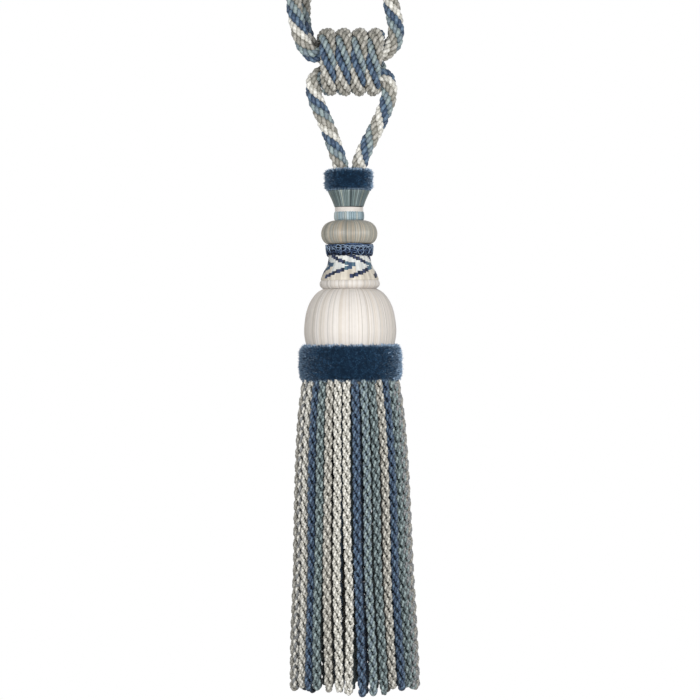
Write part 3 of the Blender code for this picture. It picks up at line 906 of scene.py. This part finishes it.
def threaded(name, colours, material, rng):
    """One of the pieces under upright threads, each thread of one of the colours."""
    replaced, outline, threads, rows, rib, groove_light, shade, dark, one_in = THREADED[name]
    tones = (rng.integers(0, len(colours), threads) + 0.5) / len(colours)
    shades = shade * pick_shades(threads, rng, dark, one_in)
    item = turned_threads(
        name, outline, threads, rows, rib * MM, groove_light, tones, shades, material
    )
    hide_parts(replaced)


def tufts(name, outline, spacing, length, thick, material, rng, cut=None):
    """Short pile standing out of a turned outline, as slim three-sided tufts."""
    line = smooth_line(np.array(outline) * MM, spacing)
    along = unit(np.gradient(line, axis=0))
    rows = []
    for (depth, radius), (down, away) in zip(line, along):
        count = max(PILE_FEWEST, round(TURN * radius / spacing))
        angle = TURN * (np.arange(count) + rng.random(count) * PILE_STRAY) / count
        shift = spacing * (rng.random((count, 2)) - 0.5)
        base = round_axis(radius + shift[:, 0], angle, -depth + shift[:, 1])
        out = round_axis(down, angle, np.full(count, away))
        rows.append(np.concatenate([base, out], axis=1))
    rows = np.concatenate(rows)
    if cut is not None:
        rows = rows[~cut(rows[:, :3], rows[:, 3:])]
    base, out = rows[:, :3], rows[:, 3:]
    total = len(base)
    lean = unit(out + PILE_LEAN * rng.normal(size=(total, 3)))
    side = unit(np.cross(lean, rng.normal(size=(total, 3))))
    other = np.cross(lean, side)
    lumps = 1 + PILE_LUMPS * np.sin(base @ PILE_LUMP_WAVES).sum(axis=1, keepdims=True)
    reach = length * lumps * rng.uniform(*PILE_LENGTHS, (total, 1))
    corners = []
    for corner in range(3):
        angle = TURN * corner / 3
        corners.append(base + thick * (math.cos(angle) * side + math.sin(angle) * other))
    points = np.stack([*corners, base + lean * reach], axis=1).reshape(-1, 3)
    starts = np.arange(total)[:, None] * 4
    pattern = np.array([(0, 1, 3), (1, 2, 3), (2, 0, 3), (2, 1, 0)])
    faces = (starts[:, None] + pattern[None]).reshape(-1, 3)
    item = new_object(name, on_head(points), [faces], material)
    mesh_value(item, "tip", np.tile([0.0, 0.0, 0.0, 1.0], total), "POINT")
    nap = unit(out + PILE_NAP * (lean + PILE_NAP_UNEVEN * rng.normal(size=(total, 3))))
    item.data.normals_split_custom_set_from_vertices(np.repeat(nap, 4, axis=0))
    return item


def under_bail(base, out):
    """Where the bail's two ends enter the top ruff."""
    return np.all(np.abs(base[:, :2]) < BARE_UNDER_BAIL, axis=1) & (out[:, 2] > FACING_UP)


def ruffs(rng):
    """The two ruffs: a body dark with the roots' painted shade, under dense pile."""
    velvet = velvet_material()
    pieces = [
        # node, outline, spacing, length, thickness, what is left bare
        ("top_ruff", TOP_RUFF_OUTLINE, 0.52 * MM, 1.25 * MM, 0.30 * MM, under_bail),
        ("lower_ruff", LOWER_RUFF_OUTLINE, 0.60 * MM, 1.35 * MM, 0.34 * MM, None),
    ]
    for name, outline, spacing, length, thick, cut in pieces:
        # The body takes the colour of the roots' painted shade
        body = plain_turned(f"{name}_body", outline, velvet)
        pile = tufts(f"{name}_pile", outline, spacing, length, thick, velvet, rng, cut)
        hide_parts(name)
        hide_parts(name)


def neck(rng):
    """The flared neck's upright threads and its pale band."""
    threads = thread_material("neck_threads", NECK_COLOURS)
    pale = thread_material("band_threads", BAND_COLOURS)
    threaded("neck_flare", NECK_COLOURS, threads, rng)
    threaded("neck_band", BAND_COLOURS, pale, rng)


def binding(material):
    """A cream thread wound four times round the neck's waist."""
    share = np.linspace(0, BINDING_TURNS, BINDING_TURNS * BINDING_STEPS_A_TURN + 1)
    depth = BINDING_TOP + share * BINDING_PITCH
    line = on_head(round_axis(BINDING_RADIUS, TURN * share, -depth))
    item = tubes(
        "neck_binding_thread", line[None], BINDING_THICK, BINDING_SIDES, tones=0.1, shades=0.9,
        material=material,
    )
    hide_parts("neck_binding")


def bun(rng):
    """The bun's upright threads."""
    material = thread_material("bun_threads", BUN_COLOURS)
    threaded("bun_threads", BUN_COLOURS, material, rng)


def gimp(rng):
    """A dark band, near black with painted shade between the loops, under rows of looped cord,
    with fine pale loops over them.
    """
    material = thread_material("gimp_threads", GIMP_COLOURS)
    body = plain_turned("gimp_body", GIMP_OUTLINE, material, rows=20, around=72)
    plain_yarn(body, GIMP_BODY_TONE, 1.0)
    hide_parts("gimp")
    for number, row in enumerate(GIMP_ROWS, 1):
        loops, depth, radius, half, thick, tone, phase, way = row
        share = np.linspace(0, 1, loops * GIMP_LOOP_POINTS + 1)
        uneven = np.interp(share * loops, np.arange(loops + 1), rng.random(loops + 1))
        swing = TURN * loops * share + phase + GIMP_STRAY * uneven
        angle = TURN * share * way + GIMP_SWING * np.sin(swing)
        bulge = GIMP_BULGE * np.sin(swing + GIMP_BULGE_LATE) + GIMP_LUMPS * uneven
        reach = (radius + bulge) * MM
        height = half * np.interp(uneven, (0, 1), GIMP_HEIGHTS)
        z = (height * np.cos(swing) - depth) * MM
        line = on_head(round_axis(reach, angle, z))
        # Painted shade in the gimp's crease, towards the head's axis
        axis = on_head(round_axis(0.0, angle, z))
        item = tubes(
            f"gimp_loops_{number}", line[None], thick * MM, GIMP_SIDES, tone, 1.0, material,
            [(axis[None], 1.0, GIMP_CREASE)],
        )
        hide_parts("gimp")


def chevron_lines(angle, depth):
    """How many columns from its corner each place of a chevron is, where it has a float, and
    where it lies above the chevrons' lower arms.
    """
    repeat = TURN / CHEVRON_REPEATS
    behind = np.mod(CHEVRON_CORNER - angle, repeat)
    from_corner = np.zeros(np.broadcast_shapes(angle.shape, depth.shape))
    stitched = np.zeros(from_corner.shape, bool)
    above = np.zeros(from_corner.shape, bool)
    for neighbour in (0, 1):
        column = np.floor((behind + neighbour * repeat) / CHEVRON_COLUMN).astype(int)
        fall = CHEVRON_FALLS[np.minimum(column, len(CHEVRON_FALLS) - 1)]
        split = np.where(column > 0, CHEVRON_SPLIT, 0.0)
        arms = (CHEVRON_CORNER_DEPTH - fall, CHEVRON_CORNER_DEPTH + fall + split)
        for middle in arms:
            here = (np.abs(depth - middle) < CHEVRON_FLOAT / 2) & (column < len(CHEVRON_FALLS))
            from_corner = np.where(here, column, from_corner)
            stitched = stitched | here
        above = above | (depth < arms[1]) & (neighbour == 0)
    return from_corner, stitched, above


def chevron_cone(rng):
    """Cream threads with stepped blue chevrons on the flare's upper part, whiter between them."""
    material = thread_material("chevron_threads", CHEVRON_COLOURS)
    depth, _radius, _run = outline_rows(CONE_OUTLINE, CONE_ROWS)
    middle = (depth[1:] + depth[:-1])[:, None] / 2
    angle = TURN * (np.arange(CONE_THREADS)[None, :] + 0.5) / CONE_THREADS
    from_corner, stitched, above = chevron_lines(angle, middle)
    kind = rng.integers(0, CHEVRON_KINDS, CONE_THREADS)[None, :]
    blue = np.where(from_corner < CHEVRON_NEAR_COLUMNS, NEAR_BLUE, FAR_BLUE)
    colour = np.where(stitched, blue, np.where(above, WHITE, CREAM)) * CHEVRON_KINDS + kind
    tones = (colour + 0.5) / len(CHEVRON_COLOURS)
    plain = np.broadcast_to(pick_shades(CONE_THREADS, rng, *CONE_DARK), tones.shape)
    shades = np.where(stitched, 1.0, plain)

    def raised(depths, around):
        places = TURN * (np.arange(around)[None, :] + 0.5) / around
        return np.where(chevron_lines(places, depths[:, None])[1], CHEVRON_RELIEF, 0.0)

    item = turned_threads(
        "chevron_braid", CONE_OUTLINE, CONE_THREADS, CONE_ROWS, CONE_RIB, CONE_GROOVE_LIGHT, tones,
        shades, material, raised,
    )
    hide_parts("chevron_cone")


def rim_and_ball(material, rng):
    """The rim bead and the ball, both under upright cream threads."""
    for name in ("rim_threads", "ball_threads"):
        threaded(name, CREAM_COLOURS, material, rng)


# Skirt


def cord_lines(row, chance, step):
    """Centrelines of one ring of cords, from inside the ruff to their ends."""
    count, inset_top, inset_bottom, turn = row
    shares, radii = zip(*SKIRT_OUTLINE)
    full = HEAD_TOP[2] - SKIRT_BOTTOM_Z - SKIRT_ROOT_DEPTH
    points = round(full / step)
    lines = []
    for cord in range(count):
        length = full - SKIRT_UNEVEN * chance.random()
        phase = TURN * chance.random()
        waves = chance.uniform(*SKIRT_WAVES)
        share = np.linspace(-SKIRT_HIDDEN / length, 1 - CORD_END / length, points)
        inside = np.maximum(share, 0.0)
        inset = inset_top + (inset_bottom - inset_top) * inside
        radius = (np.interp(inside, shares, radii) - inset) * MM
        sway = SKIRT_SWAY * inside * np.sin(TURN * waves * inside + phase)
        angle = math.radians(turn) + TURN * cord / count + sway / radius
        line = round_axis(radius, angle, -SKIRT_ROOT_DEPTH - length * share)
        lines.append(line + SKIRT_LEAN * inside[:, None] * SIDEWAYS)
    return on_head(np.array(lines))


def looped_strands(lines, offset, phases):
    """For each cord a line that winds down it, turns at its end and winds back up.

    It comes with its direction away from the cord's centre, and with that centre.
    """
    first, second = frames_of(lines)
    angle = (phases[:, None] - TURN * run_along(lines) / CORD_LAY)[..., None]
    out = np.cos(angle) * first + np.sin(angle) * second
    reach = offset[:, None] * out
    ahead = unit(lines[:, -1:] - lines[:, -2:-1])
    turns = np.linspace(0, math.pi, LOOP_POINTS + 2)[1:-1, None]
    bend = np.cos(turns) * out[:, -1:] + np.sin(turns) * ahead
    strands = np.concatenate(
        [lines + reach, lines[:, -1:] + offset[-1] * bend, (lines - reach)[:, ::-1]], axis=1
    )
    centres = [lines, np.repeat(lines[:, -1:], LOOP_POINTS, axis=1), lines[:, ::-1]]
    away = np.concatenate([out, bend, -out[:, ::-1]], axis=1)
    return strands, away, np.concatenate(centres, axis=1)


def both_ways(values):
    """A cord's values for the way down, the loop and the way back up."""
    return np.concatenate([values, np.full(LOOP_POINTS, values[-1]), values[::-1]])


def outer_cords(material, chance, rng):
    """The ring of cords that shows: two soft strands, flattened where they lie together."""
    lines = cord_lines(OUTER_ROW, chance, CORD_STEP)
    thick = np.linspace(*SKIRT_THICKNESS, lines.shape[1])
    phases = TURN * rng.random(len(lines))
    both = both_ways(thick)
    tall, wide = CORD_PLY_CENTRE
    ends = np.linspace(0, len(lines), SKIRT_PIECES + 1).astype(int)
    pieces = []
    for number, (first, last) in enumerate(zip(ends, ends[1:]), 1):
        strands, out, centres = looped_strands(
            lines[first:last], CORD_STRAND_CENTRE * thick, phases[first:last]
        )
        plies = wound(strands, PLIES, (tall * both, wide * both), CORD_PLY_LAY, outward=out)
        cores = [
            (np.repeat(centres, PLIES, axis=0), both, CORD_CREASE),
            (np.repeat(strands, PLIES, axis=0), both, CORD_STRAND_CREASE),
        ]
        tones = [tone_of(tone) for pair in CORD_STRANDS[first:last] for tone in pair]
        shades = rng.uniform(*SKIRT_SHADES, len(tones))
        pieces.append(
            tubes(
                f"skirt_cords_{number}", plies, CORD_PLY_RADIUS * both, CORD_PLY_SIDES, tones,
                shades, material, cores,
            )
        )
    return pieces


def inner_cords(material, chance, rng):
    """The ring of cords behind, darkened with painted shade, as if in the shade of the outer ones.
    """
    lines = cord_lines(INNER_ROW, chance, INNER_STEP)
    thick = np.linspace(*SKIRT_THICKNESS, lines.shape[1])
    phases = TURN * rng.random(len(lines))
    strands, _out, _centres = looped_strands(lines, CORD_STRAND_CENTRE * thick, phases)
    tones = [tone_of(INNER_STRANDS[index % len(INNER_STRANDS)]) for index in range(len(lines))]
    radius = INNER_STRAND_RADIUS * both_ways(thick)
    return tubes(
        "skirt_inner_cords", strands, radius, INNER_SIDES, tones, INNER_PAINTED_SHADE, material
    )


def skirt(rng):
    """Two rings of bullion cords under their heading."""
    material = thread_material("bullion_yarn", STRAND_COLOURS.values())
    chance = random.Random(SEED)
    heading = plain_turned("skirt_heading", HEADING_OUTLINE, material)
    # The heading is darkened with painted shade
    plain_yarn(heading, tone_of("tan"), INNER_PAINTED_SHADE)
    pieces = outer_cords(material, chance, rng)
    pieces.append(inner_cords(material, chance, rng))
    pieces.append(heading)
    for piece in pieces:
        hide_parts("skirt")


# Stage


def floor():
    mesh = bpy.data.meshes.new("floor")
    half = FLOOR_SIZE / 2
    corners = [(-half, -half), (half, -half), (half, half), (-half, half)]
    mesh.from_pydata([(x, y, FLOOR_Z) for x, y in corners], [], [(0, 1, 2, 3)])
    made, _tree, shader = new_material("floor", roughness=0.9, sheen=0.0, specular=0.2)
    shader.inputs["Base Color"].default_value = linear(FLOOR_COLOUR)
    mesh.materials.append(made)
    item = in_scene("floor", mesh)


def softbox(name, place, size, watts):
    """A square light that faces the view's middle."""
    data = bpy.data.lights.new(name, "AREA")
    data.size = size
    data.energy = watts
    item = in_scene(name, data)
    item.location = place
    aim = Vector(PHOTO_MIDDLE) - Vector(place)
    item.rotation_euler = aim.to_track_quat("-Z", "Y").to_euler()


def studio():
    """White behind the object, grey in front of it, and two softboxes."""
    world = bpy.data.worlds.new("studio")
    world.use_nodes = True
    tree = world.node_tree
    place = node(tree, "ShaderNodeTexCoord")
    split = node(tree, "ShaderNodeSeparateXYZ")
    blend = node(tree, "ShaderNodeMapRange")
    blend.inputs["From Min"].default_value = WHITE_FROM
    blend.inputs["From Max"].default_value = WHITE_AT
    blend.inputs["To Min"].default_value = GREY_IN_FRONT
    blend.inputs["To Max"].default_value = WHITE_BEHIND
    tree.links.new(place.outputs["Generated"], split.inputs["Vector"])
    tree.links.new(split.outputs["Y"], blend.inputs["Value"])
    background = tree.nodes["Background"]
    background.inputs["Color"].default_value = (1.0, 1.0, 1.0, 1.0)
    tree.links.new(blend.outputs["Result"], background.inputs["Strength"])
    bpy.context.scene.world = world
    bpy.context.scene.view_settings.view_transform = "Standard"
    for settings in SOFTBOXES:
        softbox(*settings)


def camera():
    data = bpy.data.cameras.new("camera")
    data.lens = LENS
    data.sensor_width = SENSOR
    item = in_scene("camera", data)
    distance = PHOTO_WIDTH * LENS / SENSOR
    item.location = Vector(PHOTO_MIDDLE) + distance * Vector(FRONT)
    item.rotation_euler = (math.pi / 2, 0.0, 0.0)
    bpy.context.scene.camera = item


def build():
    camera()
    ropes()
    studio()
    floor()
    rng = np.random.default_rng(SEED)
    cream = thread_material("cream_threads", CREAM_COLOURS)
    ruffs(rng)
    neck(rng)
    binding(cream)
    bun(rng)
    gimp(rng)
    chevron_cone(rng)
    rim_and_ball(cream, rng)
    skirt(rng)


build()
